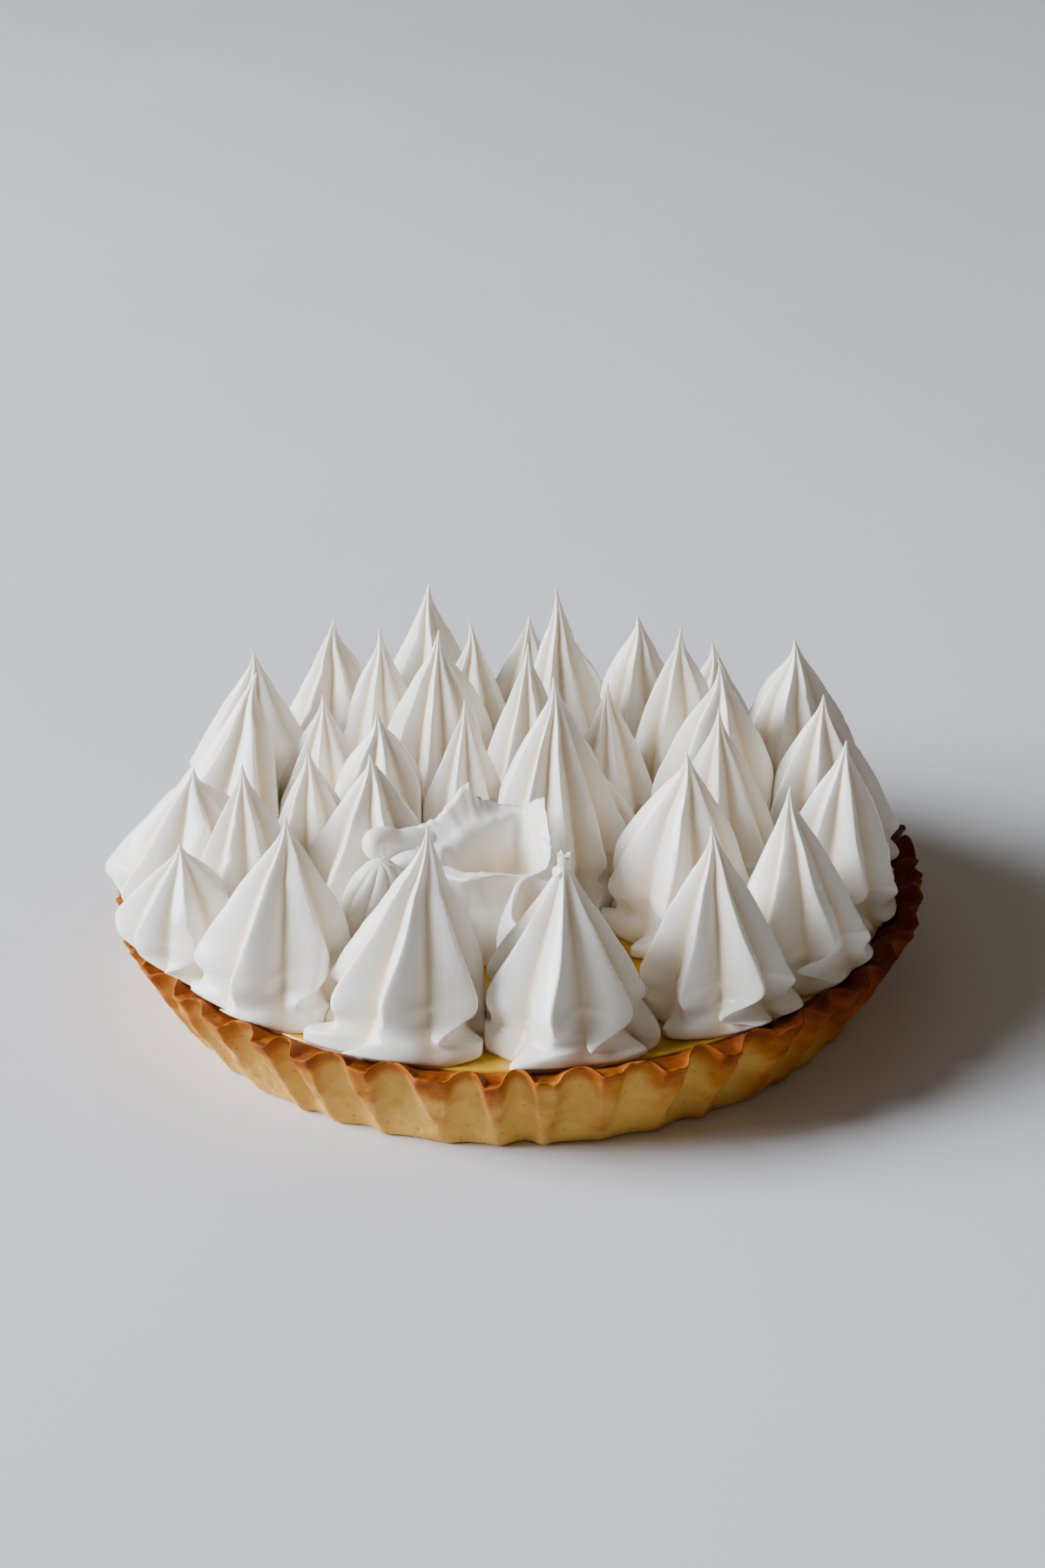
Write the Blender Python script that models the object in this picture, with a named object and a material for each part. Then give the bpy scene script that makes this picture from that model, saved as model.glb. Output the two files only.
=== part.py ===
"""Lemon meringue tart: a fluted shortcrust shell, filled with lemon curd, under piped meringue kisses.

Metres, +Z up.  The origin is the middle of the shell's flat underside, which the tart rests on.
The front of the tart faces -Y.  Every kiss, and every piece of the one crushed kiss, is an object
of its own that stands just clear of the curd and of its neighbours.
"""
import math

import bpy
import numpy as np

MM = 0.001
TURN = 2.0 * math.pi

# Gaps between pieces that touch on the real tart.
GAP = 0.3 * MM

# Shell.
RIM_RADIUS = 120.0 * MM
FOOT_RADIUS = 103.0 * MM
SHELL_HEIGHT = 32.2 * MM
FLOOR_THICKNESS = 4.0 * MM
WALL_THICKNESS = 6.5 * MM
FLUTES = 44
FLUTE_PHASE = math.radians(3.5)
FLUTE_DEPTH = 4.0 * MM
FLUTE_DEPTH_AT_FOOT = 1.6 * MM
LOBE_SHARE = 0.34
COLUMNS_PER_FLUTE = 4
RIM_DIP = 2.6 * MM
INNER_RIM_HEIGHT = 28.3 * MM

# Curd.
CURD_TOP = 27.2 * MM
CURD_RADIUS = RIM_RADIUS - FLUTE_DEPTH - WALL_THICKNESS - 0.6 * MM
CURD_COLUMNS = 64

# Meringue.
MERINGUE_BASE = CURD_TOP + GAP
RIDGES = 7
KISS_GAP = 0.5 * GAP
INSIDE_RIM = CURD_RADIUS - GAP
PINCH = 5.0 * MM
OVERHANG = RIM_RADIUS + 2.5 * MM
CURL = 3.2 * MM

# A kiss from its foot to just under its point: share of its height, reach of its ridges and of the
# valleys between them as shares of its foot's radius, what a full kiss adds to both, and how far a
# ridge's crest curls sideways.  The second level is the pinch above the skirt.  Up to it a kiss stays
# inside the rim, and above it a kiss may hang over the rim.
KISS_LEVELS = (
    (0.00, 1.08, 0.95, 0.00, 0.8),
    (None, 0.93, 0.82, 0.02, -0.8),
    (0.22, 0.96, 0.70, 0.06, 0.5),
    (0.38, 0.80, 0.57, 0.12, 0.0),
    (0.55, 0.58, 0.42, 0.17, 0.0),
    (0.77, 0.245, 0.18, 0.12, 0.0),
    (0.93, 0.045, 0.035, 0.03, 0.0),
)

# The kisses, ring by ring, each ring counter-clockwise seen from above.  In millimetres: middle of the
# foot x, y; height; foot radius; lean of the point dx, dy.  Then the angle of one ridge in degrees, from
# the front towards +X, and how full the kiss is: 0 is common, below it is slim, 1 is broad-shouldered.
OUTER_KISSES = (
    (11, -87, 52, 24, 1, 3, -10, -0.2),
    (54, -74, 52, 21, -2, 4, -25, 0.0),
    (80, -53, 54, 21, -5, 2, -26, 0.0),
    (92, -20, 53, 19.5, 2, 0, -43, 0.5),
    (94, 11, 53, 21, -3, 1, -17, 0.5),
    (86, 41, 59, 22, -1, 0, -25, 0.8),
    (63, 69, 47, 18, -1, -1, -8, 0.1),
    (40, 81, 52, 20, -1, -1, -15, 0.2),
    (21, 94, 40, 15, -1, -2, 12, 0.3),
    (3, 98, 46, 17, 2, -1, -20, 0.2),
    (-28, 91, 60, 21, 1, 0, 5, 0.0),
    (-60, 77, 54, 22, 3, 1, -28, 0.1),
    (-84, 54, 53, 20, 3, 1, -6, 0.1),
    (-92, 24, 56, 23.5, 14, 7, -35, -0.4),
    (-101, -10, 43, 24, 7, 2, -30, 0.6),
    (-96, -46, 37, 19, 1, 2, -38, 0.5),
    (-68, -66, 54, 22, 5, 2, -19, 0.4),
    (-31, -85, 60, 24, 7, 3, -10, -0.2),
)
MIDDLE_KISSES = (
    (47, -28, 54, 22, 1, 0, -17, 0.5),
    (60, -3, 56, 20, -1, 1, -10, 0.2),
    (61, 25, 58, 21, 0, 0, -35, 1.0),
    (50, 49, 60, 19, 1, 0, -17, 0.8),
    (14, 61, 70, 20, -1, -1, -22, 0.0),
    (-13, 67, 57, 16, -1, -1, 10, 0.3),
    (-42, 60, 58, 19, 0, -1, -20, 0.3),
    (-59, 27, 51, 18, 1, -2, -12, 0.4),
    (-60, -5, 48, 17, -1, -1, -37, 0.6),
    (-78, -25, 52, 19, 0, 0, -25, 0.3),
)
INNER_KISSES = (
    (-43, -19, 52, 22, 1, -1, -26, 0.4),
    (-41, 7, 53, 20, 0, 0, -35, 1.2),
    (-24, 41, 64, 21, 1, 1, -14, 1.0),
    (3, 31, 64, 19, 1, -1, -26, 0.3),
    (30, 37, 48, 16, -2, -1, -39, 0.2),
    (25, 11, 39, 16, -6, -2, -5, 0.5),
    (10, -6, 68, 24, 1, 1, -30, 0.2),
    (-17, 6, 57, 18, 2, 0, -15, 0.2),
)

# The crushed kiss and the two low swirls beside it: middle x, y and foot radius in millimetres.
CRUSHED = (-4, -33, 21)
DOME = (-41, -49, 13)
HOLLOW_SWIRL = (5, -58, 13)

# The two smears that the crushed kiss pushed out: rounded end, end at the kiss, and radius.
UPPER_SMEAR = ((-38.5, -34.0, 35.0), (-19.8, -33.0, 32.5), 4.4)
LOWER_SMEAR = ((-35.5, -38.5, 28.0), (-24.0, -37.5, 25.5), 4.0)


def rings_to_object(name, rings, top=None, bottom=None):
    """Closed mesh from equal rings of points, bottom ring first, each counter-clockwise from above."""
    count = len(rings[0])
    points = np.concatenate(rings)
    faces = []
    for level in range(len(rings) - 1):
        for i in range(count):
            j = (i + 1) % count
            low = level * count
            high = low + count
            faces.append((low + i, low + j, high + j, high + i))
    last = (len(rings) - 1) * count
    extra = []
    if bottom is None:
        faces.append(tuple(reversed(range(count))))
    else:
        extra.append(bottom)
        hub = len(points)
        faces.extend(((i + 1) % count, i, hub) for i in range(count))
    if top is None:
        faces.append(tuple(last + i for i in range(count)))
    else:
        hub = len(points) + len(extra)
        extra.append(top)
        faces.extend((last + i, last + (i + 1) % count, hub) for i in range(count))
    if extra:
        points = np.concatenate([points, np.array(extra)])
    mesh = bpy.data.meshes.new(name)
    mesh.from_pydata(points.tolist(), [], faces)
    mesh.update()
    obj = bpy.data.objects.new(name, mesh)
    bpy.context.scene.collection.objects.link(obj)
    return obj


def material(name, colour, roughness, coat=0.0):
    """Principled material with one plain colour."""
    made = bpy.data.materials.new(name)
    made.use_nodes = True
    shader = made.node_tree.nodes["Principled BSDF"]
    shader.inputs["Base Color"].default_value = (*colour, 1.0)
    shader.inputs["Roughness"].default_value = roughness
    shader.inputs["Coat Weight"].default_value = coat
    shader.inputs["Metallic"].default_value = 0.0
    return made


def ring(radius, height, angles):
    """Points at the given radii, heights and angles round the origin's vertical."""
    radius = np.broadcast_to(radius, angles.shape)
    height = np.broadcast_to(height, angles.shape)
    return np.stack([radius * np.cos(angles), radius * np.sin(angles), height], axis=-1)


# ---- shell and curd ----

def flute_share(angles):
    """0 on the narrow outward lobes, rising in an arc to 1 in the middle of each wide scoop."""
    phase = (angles - FLUTE_PHASE) * FLUTES / TURN
    across = np.abs(phase - np.round(phase)) * 2.0
    from_middle = (1.0 - across) / (1.0 - LOBE_SHARE)
    return np.clip(1.0 - from_middle ** 2, 0.0, 1.0)


def flute_angles():
    """Both edges of every lobe and two points in every scoop."""
    half_lobe = 0.5 * LOBE_SHARE
    scoop_step = (1.0 - LOBE_SHARE) / (COLUMNS_PER_FLUTE - 1)
    steps = [half_lobe + scoop_step * i for i in range(COLUMNS_PER_FLUTE)]
    shares = [k + step for k in range(FLUTES) for step in steps]
    return FLUTE_PHASE + np.array(shares) * TURN / FLUTES


def make_shell():
    """Fluted cup: sloping scooped wall, rim that dips at each lobe, thick floor.  Its hollow is the curd's."""
    angles = flute_angles()
    scoop = flute_share(angles)
    rim_height = SHELL_HEIGHT - RIM_DIP * (1.0 - scoop)
    inner_rim = RIM_RADIUS - WALL_THICKNESS - FLUTE_DEPTH * scoop
    curd_wall = CURD_RADIUS + GAP
    slope = (RIM_RADIUS - FOOT_RADIUS) / SHELL_HEIGHT
    floor_radius = curd_wall - slope * (CURD_TOP - FLOOR_THICKNESS)
    rings = [
        ring(FOOT_RADIUS - FLUTE_DEPTH_AT_FOOT * scoop, 0.0, angles),
        ring(RIM_RADIUS - FLUTE_DEPTH * scoop, rim_height, angles),
        ring(inner_rim, INNER_RIM_HEIGHT, angles),
        ring(curd_wall, CURD_TOP, angles),
        ring(floor_radius, FLOOR_THICKNESS, angles),
    ]
    shell = rings_to_object("crust", rings, (0.0, 0.0, FLOOR_THICKNESS), (0.0, 0.0, 0.0))
    shell.data.materials.append(material("baked_shortcrust", (0.55, 0.27, 0.075), 0.75))
    return shell


def make_curd():
    """Set curd, level on top, that fills the shell to a few millimetres under its rim."""
    angles = np.arange(CURD_COLUMNS) * TURN / CURD_COLUMNS
    slope = (RIM_RADIUS - FOOT_RADIUS) / SHELL_HEIGHT
    depth = CURD_TOP - FLOOR_THICKNESS - GAP
    bottom_radius = CURD_RADIUS - slope * depth - GAP
    rings = [
        ring(bottom_radius, FLOOR_THICKNESS + GAP, angles),
        ring(CURD_RADIUS, CURD_TOP, angles),
    ]
    curd = rings_to_object("lemon_curd", rings)
    curd.data.materials.append(material("lemon_curd_set", (0.72, 0.5, 0.08), 0.3, 0.3))
    return curd


# ---- meringue ----

def cell_planes(site, sites):
    """Planes halfway, by foot radius, between one site's middle and each neighbour it can reach."""
    x, y, radius = site
    planes = []
    for other in sites:
        apart = math.hypot(other[0] - x, other[1] - y)
        if apart == 0.0 or apart > 1.4 * (radius + other[2]):
            continue
        normal = ((other[0] - x) / apart, (other[1] - y) / apart)
        planes.append((normal, apart * radius / (radius + other[2]) - KISS_GAP))
    return planes


def pull_inside(points, axis, middle, planes):
    """Draws points in towards their level's axis until they lie inside the cell and the rim."""
    spokes = points[:, :2] - axis
    offset = axis - np.array(middle)
    for normal, limit in planes:
        outward = spokes @ np.array(normal)
        room = limit - float(offset @ np.array(normal))
        too_far = outward > room
        spokes[too_far] *= (room / outward[too_far])[:, None]
    low = points[:, 2] < MERINGUE_BASE + PINCH + 0.5 * GAP
    bound = np.where(low, INSIDE_RIM, OVERHANG)
    along = np.einsum("ij,j->i", spokes, axis)
    length = np.einsum("ij,ij->i", spokes, spokes)
    room = bound ** 2 - float(axis @ axis)
    share = (np.sqrt(along ** 2 + length * room) - along) / length
    spokes *= np.minimum(share, 1.0)[:, None]
    points[:, :2] = axis + spokes
    return points


def kiss_rings(kiss, planes):
    """Rings of ridge crests and valleys, curled near the foot and tapering to the point."""
    x, y, height, radius, lean_x, lean_y, first_ridge, fullness = kiss
    columns = np.arange(2 * RIDGES)
    on_crest = columns % 2 == 0
    angles = math.radians(first_ridge) - 0.25 * TURN + columns * TURN / (2 * RIDGES)
    outward = np.stack([np.cos(angles), np.sin(angles)], axis=-1)
    sideways = np.stack([-np.sin(angles), np.cos(angles)], axis=-1)
    hand = np.where(columns % 4 == 0, 1.0, -1.0)
    rings = []
    for share, crest, valley, swell, curl in KISS_LEVELS:
        share = PINCH / height if share is None else share
        axis = np.array([x + lean_x * share, y + lean_y * share])
        reach = radius * (np.where(on_crest, crest, valley) + swell * fullness)
        shift = curl * CURL * hand * on_crest
        flat = axis + outward * reach[:, None] + sideways * shift[:, None]
        level = np.full((len(columns), 1), MERINGUE_BASE + height * share)
        points = np.concatenate([flat, level], axis=1)
        rings.append(pull_inside(points, axis, (x, y), planes))
    return rings


def make_kiss(name, kiss, planes, finish):
    """One piped kiss: ridged cone with a curled skirt and a fine point."""
    x, y, height, _, lean_x, lean_y = kiss[:6]
    tip = (x + lean_x, y + lean_y, MERINGUE_BASE + height)
    obj = rings_to_object(name, kiss_rings(kiss, planes), tip)
    obj.data.materials.append(finish)
    return obj


def make_crushed_kiss(planes, finish):
    """Kiss that lost its point: a torn hollow with two high corners at its back and a low front."""
    x, y, radius = (value * MM for value in CRUSHED)
    columns = 16
    angles = np.arange(columns) * TURN / columns
    outward = np.stack([np.cos(angles), np.sin(angles)], axis=-1)
    right_corner = 10.0 * np.exp(-((angles - math.radians(20)) / 0.3) ** 2)
    left_corner = 12.0 * np.exp(-((angles - math.radians(135)) / 0.3) ** 2)
    wave = 3.0 * np.cos(2.0 * angles) + 2.0 * np.sin(angles)
    lip = (30.0 + wave + right_corner + left_corner) * MM
    axis = np.array([x, y])
    rings = []
    for reach, height in (
        (1.00, 0.0),
        (0.95, 12.0 * MM),
        (0.80, 0.8 * lip),
        (0.62, lip),
        (0.30, 23.0 * MM),
    ):
        flat = axis + outward * radius * reach
        level = np.broadcast_to(MERINGUE_BASE + height, columns)[:, None]
        points = np.concatenate([flat, level], axis=1)
        rings.append(pull_inside(points, axis, (x, y), planes))
    obj = rings_to_object("crushed_kiss", rings, (x, y, MERINGUE_BASE + 21.0 * MM))
    obj.data.materials.append(finish)
    return obj


def make_smear(name, smear, finish):
    """Finger of meringue: round section along a line, rounded at its free end."""
    start, end, radius = smear
    start = np.array(start) * MM
    end = np.array(end) * MM
    along = (end - start) / np.linalg.norm(end - start)
    across = np.cross(along, (0.0, 0.0, 1.0))
    across /= np.linalg.norm(across)
    up = np.cross(across, along)
    angles = np.arange(10) * TURN / 10
    spokes = np.cos(angles)[:, None] * across + np.sin(angles)[:, None] * -up
    lift = np.array([0.0, 0.0, MERINGUE_BASE])
    rings = []
    for share, reach in ((0.03, 0.5), (0.2, 0.95), (0.45, 1.0), (0.8, 0.85), (1.0, 0.7)):
        middle = start + (end - start) * share + lift
        rings.append(middle + spokes * radius * MM * reach)
    obj = rings_to_object(name, rings, bottom=tuple(start + lift))
    obj.data.materials.append(finish)
    return obj


def make_swirl(name, place, ribs, twist, profile, middle_height, planes, finish):
    """Low piped swirl: ribs that lean round it as they rise, then a domed or hollow middle."""
    x, y, radius = (value * MM for value in place)
    columns = np.arange(2 * ribs)
    rib = np.where(columns % 2 == 0, 1.0, 0.86)
    axis = np.array([x, y])
    rings = []
    for reach, height in profile:
        angles = columns * TURN / len(columns) + twist * height / profile[-1][1]
        outward = np.stack([np.cos(angles), np.sin(angles)], axis=-1)
        flat = axis + outward * (radius * reach * rib)[:, None]
        level = np.full((len(columns), 1), MERINGUE_BASE + height * MM)
        points = np.concatenate([flat, level], axis=1)
        rings.append(pull_inside(points, axis, (x, y), planes))
    obj = rings_to_object(name, rings, (x, y, MERINGUE_BASE + middle_height * MM))
    obj.data.materials.append(finish)
    return obj


def make_meringue(finish):
    """All the kisses, and the crushed kiss with the two low swirls beside it."""
    kisses = [
        tuple(value * MM for value in row[:6]) + row[6:]
        for row in OUTER_KISSES + MIDDLE_KISSES + INNER_KISSES
    ]
    low_pieces = [tuple(value * MM for value in place) for place in (CRUSHED, DOME, HOLLOW_SWIRL)]
    sites = [(kiss[0], kiss[1], kiss[3]) for kiss in kisses] + low_pieces
    for number, kiss in enumerate(kisses, start=1):
        planes = cell_planes(sites[number - 1], sites)
        make_kiss(f"kiss_{number:02d}", kiss, planes, finish)
    crushed, dome, hollow = (cell_planes(site, sites) for site in low_pieces)
    make_crushed_kiss(crushed, finish)
    make_smear("smear_upper", UPPER_SMEAR, finish)
    make_smear("smear_lower", LOWER_SMEAR, finish)
    dome_profile = ((0.95, 0.0), (1.0, 8.0), (0.8, 18.0), (0.48, 26.0))
    make_swirl("low_swirl", DOME, 8, 0.5, dome_profile, 30.0, dome, finish)
    hollow_profile = ((0.92, 0.0), (1.0, 6.0), (0.8, 18.0), (0.45, 16.0))
    make_swirl("hollow_swirl", HOLLOW_SWIRL, 5, 0.6, hollow_profile, 12.0, hollow, finish)


def main():
    for obj in list(bpy.data.objects):
        bpy.data.objects.remove(obj)
    make_shell()
    make_curd()
    make_meringue(material("soft_meringue", (0.9, 0.88, 0.84), 0.35))


main()
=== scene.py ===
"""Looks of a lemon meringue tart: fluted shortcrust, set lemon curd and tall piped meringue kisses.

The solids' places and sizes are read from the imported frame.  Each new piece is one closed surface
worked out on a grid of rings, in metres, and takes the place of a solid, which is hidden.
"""
import math

import bpy
import numpy as np
from mathutils import Matrix, Vector


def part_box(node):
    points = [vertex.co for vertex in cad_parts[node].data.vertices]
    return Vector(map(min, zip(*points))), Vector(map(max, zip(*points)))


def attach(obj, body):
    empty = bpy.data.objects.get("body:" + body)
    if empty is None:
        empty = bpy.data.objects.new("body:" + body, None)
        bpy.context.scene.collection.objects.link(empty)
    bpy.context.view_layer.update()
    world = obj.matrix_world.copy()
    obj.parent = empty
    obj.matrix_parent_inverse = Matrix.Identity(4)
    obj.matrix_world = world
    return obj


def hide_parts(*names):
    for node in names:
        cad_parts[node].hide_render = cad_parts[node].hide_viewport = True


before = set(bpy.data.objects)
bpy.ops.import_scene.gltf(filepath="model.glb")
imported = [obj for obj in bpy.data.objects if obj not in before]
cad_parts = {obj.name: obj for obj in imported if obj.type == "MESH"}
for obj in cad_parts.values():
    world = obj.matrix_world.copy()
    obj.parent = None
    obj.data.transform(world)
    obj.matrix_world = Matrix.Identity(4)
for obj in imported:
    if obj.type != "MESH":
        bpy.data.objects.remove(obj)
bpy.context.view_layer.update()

MM = 0.001
TURN = 2.0 * math.pi

# Shell: the flutes of the baking tin.  The flat lobes narrow and the scoops grow shallow downwards, and
# the rim dips at each lobe, where the dough shrank.
FLUTES = 44
FLUTE_PHASE = math.radians(3.5)
LOBE_SHARE = 0.34
LOBE_SHARE_AT_FOOT = 0.08
FLUTE_DEPTH = 4.4 * MM
FLUTE_DEPTH_AT_FOOT = 1.0 * MM
COLUMNS_PER_FLUTE = 24
RIM_DIP = 2.1 * MM
INNER_RIM_HEIGHT = 28.3 * MM
SHELL_FLOOR = 4.0 * MM

# The shell's inside starts this far outside the curd's edge and above its level.
CURD_GAP = 0.4 * MM
CURD_DROP = 0.3 * MM

# Where dough stands proud on the rim: angle and half width in degrees, rise and reach in millimetres.
RIM_LUMPS = (
    (-11.0, 1.1, 3.2, 0.6),
    (-13.5, 1.0, 1.6, -0.4),
    (-17.0, 1.3, 0.8, 2.4),
    (-21.5, 1.2, 0.2, 1.8),
    (5.0, 1.2, 2.4, 0.2),
    (152.0, 1.6, 1.2, 1.2),
    (203.0, 1.2, 1.0, 0.8),
)

# The solid kisses' ring of corners just under the point: its share of the height, and the reach of
# its crests and valleys as shares of the foot's radius, with what a full kiss adds to both.
COLLAR_SHARE = 0.93
COLLAR_CREST = 0.045
COLLAR_VALLEY = 0.035
COLLAR_SWELL = 0.03

# Piping.  Most kisses have seven ridges, two have ten finer ones, and one has lost its point.
RIDGES = 7
FINE_RIDGES = 10
FINE_PIPED = ("kiss_31", "kiss_35")
BROKEN = "kiss_01"
COLUMNS_PER_RIDGE = 22
LEVELS_PER_ROW = 6

# Where pieces meet: half the gap between neighbours, how softly one presses on the other, and how far
# the meringue sinks into the curd.  Above the rim's sloping band a kiss may reach out past the inside of
# the rim, by OVER_BAND for each step of height, up to OVERHANG.
CONTACT_GAP = 0.12 * MM
CONTACT_SOFTNESS = 0.6 * MM
SINK = 0.4 * MM
BAND_START = 0.9 * MM
OVER_BAND = 1.6
OVERHANG = 14.0 * MM

# The broken point: how far down the break reaches, and the half width of the stump and of its ledge.
BREAK_DEPTH = 9.0 * MM
STUMP_RADIUS = 1.8 * MM
LEDGE_WIDTH = 1.4 * MM

# One ridge of a kiss from its foot to its point.  Height as a share of the foot's radius, then of
# what is left above the hip; reach of crest and valley as shares of the foot's radius; what a full
# kiss adds; how round the crest is; how hollow the flanks are; how far the crest is lifted, for the
# skirt's lip is thin and curls up; and how much further a valley reaches where the ridges beside it
# swing apart, and falls short where they swing together.
HIP = 0.80
KISS_ROWS = np.array([
    (0.00, 0.00, 1.00, 0.88, 0.00, 0.44, 1.4, 0.00, 0.05),
    (0.03, 0.00, 1.08, 0.90, 0.00, 0.36, 1.4, 0.01, 0.06),
    (0.07, 0.00, 1.13, 0.90, 0.00, 0.28, 1.4, 0.04, 0.08),
    (0.12, 0.00, 1.13, 0.88, 0.00, 0.21, 1.3, 0.07, 0.09),
    (0.17, 0.00, 1.08, 0.85, 0.00, 0.16, 1.2, 0.07, 0.10),
    (0.23, 0.00, 0.99, 0.815, 0.00, 0.12, 1.1, 0.04, 0.10),
    (0.30, 0.00, 0.92, 0.775, 0.00, 0.09, 1.0, 0.01, 0.10),
    (0.37, 0.00, 0.895, 0.74, 0.01, 0.07, 1.0, 0.00, 0.09),
    (0.43, 0.00, 0.91, 0.72, 0.03, 0.06, 1.0, 0.00, 0.08),
    (0.49, 0.00, 0.945, 0.69, 0.05, 0.05, 1.0, 0.00, 0.06),
    (0.55, 0.00, 0.98, 0.68, 0.07, 0.05, 1.0, 0.00, 0.04),
    (0.62, 0.00, 0.99, 0.68, 0.09, 0.05, 1.0, 0.00, 0.02),
    (0.68, 0.00, 0.975, 0.67, 0.10, 0.05, 1.0, 0.00, 0.02),
    (0.74, 0.00, 0.95, 0.655, 0.10, 0.05, 1.0, 0.00, 0.00),
    (HIP, 0.00, 0.915, 0.63, 0.10, 0.05, 1.0, 0.00, 0.00),
    (HIP, 0.14, 0.80, 0.55, 0.12, 0.06, 1.0, 0.00, 0.00),
    (HIP, 0.30, 0.65, 0.435, 0.15, 0.05, 1.0, 0.00, 0.00),
    (HIP, 0.50, 0.45, 0.295, 0.16, 0.05, 1.05, 0.00, 0.00),
    (HIP, 0.69, 0.245, 0.16, 0.12, 0.05, 1.1, 0.00, 0.00),
    (HIP, 0.84, 0.096, 0.064, 0.04, 0.06, 1.2, 0.00, 0.00),
    (HIP, 0.94, 0.034, 0.027, 0.01, 0.10, 1.4, 0.00, 0.00),
    (HIP, 1.00, 0.010, 0.010, 0.00, 0.30, 1.6, 0.00, 0.00),
])

# How far a crest swings round the kiss at the height of its lip, its bay and its belly, and where along
# the height each of them lies, all as shares of the foot's radius.
LIP_SWING, LIP_FULL, LIP_TOP = 0.38, 0.10, 0.28
BAY_SWING, BAY_LEVEL, BAY_SPAN = 0.42, 0.36, 0.13
BELLY_SWING, BELLY_LEVEL, BELLY_SPAN = 0.11, 0.75, 0.25

# The ribbed dome and the open swirl: their ribs, the dome's height above its solid's, and the height of
# the open swirl's lip above the curd, half way between front and back.
DOME_RIBS = 10
DOME_RISE = 2.5 * MM
OPEN_RIBS = 5
OPEN_LIP = 22.0 * MM

# The crushed kiss, in millimetres round the tart's middle and above the curd: its torn edge, and the
# inner edge of the thin wing of meringue that was pushed up at its back and left.  Where there is no
# wing, the inner edge is the rounded lip's.  Counter-clockwise from the front.
TORN_EDGE = np.array([
    (-4, -49, 27.5, -4.2, -46.4, 27.0),
    (4, -49, 27.5, 3.0, -46.8, 27.0),
    (8.5, -46, 30.0, 6.4, -44.6, 28.6),
    (8.6, -38, 36.0, 5.6, -37.8, 33.0),
    (7.6, -31, 43.0, 4.6, -32.0, 37.5),
    (3.4, -25, 38.5, 1.6, -27.0, 36.0),
    (-1, -23.6, 36.8, -1.6, -26.2, 36.4),
    (-8, -22.6, 37.6, -6.0, -28.6, 35.0),
    (-12, -22.8, 39.6, -8.8, -30.2, 34.4),
    (-14.4, -23.4, 43.8, -10.8, -31.2, 33.6),
    (-21.5, -27.5, 38.0, -14.5, -33.4, 32.4),
    (-30, -31.5, 33.4, -19.5, -35.6, 31.0),
    (-28, -37.5, 29.8, -22.4, -39.0, 29.2),
    (-20, -46, 26.0, -16.6, -43.6, 26.0),
    (-12.5, -51, 28.8, -10.6, -46.4, 27.8),
])
TORN_MIDDLE = (-3.0, -36.5, 9.0)

# The fingers of meringue beside it, from the free end: x, y and height in millimetres, then radius.
SMEARS = {
    "smear_upper": np.array([
        (-40.2, -38.0, 27.0, 2.8), (-41.0, -35.8, 31.2, 3.7), (-38.8, -34.2, 32.2, 3.6),
        (-34.5, -33.0, 30.4, 3.7), (-29.5, -31.2, 29.6, 4.3), (-22.0, -29.5, 28.0, 4.6)]),
    "smear_lower": np.array([
        (-34.6, -40.6, 22.4, 3.4), (-33.2, -40.2, 25.4, 4.4), (-29.5, -39.4, 26.2, 4.5),
        (-25.0, -38.8, 25.8, 4.2), (-20.0, -38.0, 26.4, 3.2)]),
}


# ---- numbers ----

def rows_between(rows, steps, closed=False):
    """Rows joined by a Catmull-Rom curve, with the given number of steps from one row to the next.  A
    closed curve goes on from the last row to the first."""
    padded = np.concatenate([2 * rows[:1] - rows[1:2], rows, 2 * rows[-1:] - rows[-2:-1]])
    if closed:
        padded = np.concatenate([rows[-1:], rows, rows[:2]])
    t = np.linspace(0.0, 1.0, steps, endpoint=False)[None, :, None]
    before, start, end, after = (padded[i:len(padded) - 3 + i, None, :] for i in range(4))
    curve = 0.5 * (
        2.0 * start
        + (end - before) * t
        + (2.0 * before - 5.0 * start + 4.0 * end - after) * t ** 2
        + (3.0 * start - before - 3.0 * end + after) * t ** 3
    )
    curve = curve.reshape(-1, rows.shape[1])
    return curve if closed else np.concatenate([curve, rows[-1:]])


def soften(grid, times_down, times_round):
    """Turns creases into bends: each point becomes a quarter of both neighbours and half itself, again
    and again, down the rows and then round the closed columns, where each time starts a little lower."""
    for _ in range(times_down):
        grid[1:-1] = 0.25 * grid[:-2] + 0.5 * grid[1:-1] + 0.25 * grid[2:]
    for time in range(times_round):
        low = grid[1 + time * len(grid) // (2 * times_round):]
        low[:] = 0.25 * np.roll(low, 1, 1) + 0.5 * low + 0.25 * np.roll(low, -1, 1)
    return grid


def soft_min(value, limit, softness):
    """The smaller of value and limit, rounded where they meet by the softness s:
    limit - s log(1 + e^((limit - value) / s))."""
    return limit - softness * np.logaddexp(0.0, (limit - value) / softness)


def ease(value, low, high):
    """0 below low, 1 above high, and 3t^2 - 2t^3 between."""
    t = np.clip((value - low) / (high - low), 0.0, 1.0)
    return t * t * (3.0 - 2.0 * t)


def bell(value, middle, span):
    """e^(-t^2), t being how many spans the value is from the middle."""
    return np.exp(-((value - middle) / span) ** 2)


def arch(value, end):
    """Half a sine wave: 0 at 0 and from end on, and 1 half way."""
    return np.sin(np.pi * np.clip(value / end, 0.0, 1.0))


def rounded(value, roundness):
    """|value| with its corner at 0 rounded off, and still 1 at 1: (sqrt(v^2 + r^2) - r), divided by what
    that is at 1."""
    rest = np.sqrt(1.0 + roundness ** 2) - roundness
    return (np.sqrt(value ** 2 + roundness ** 2) - roundness) / rest


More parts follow.
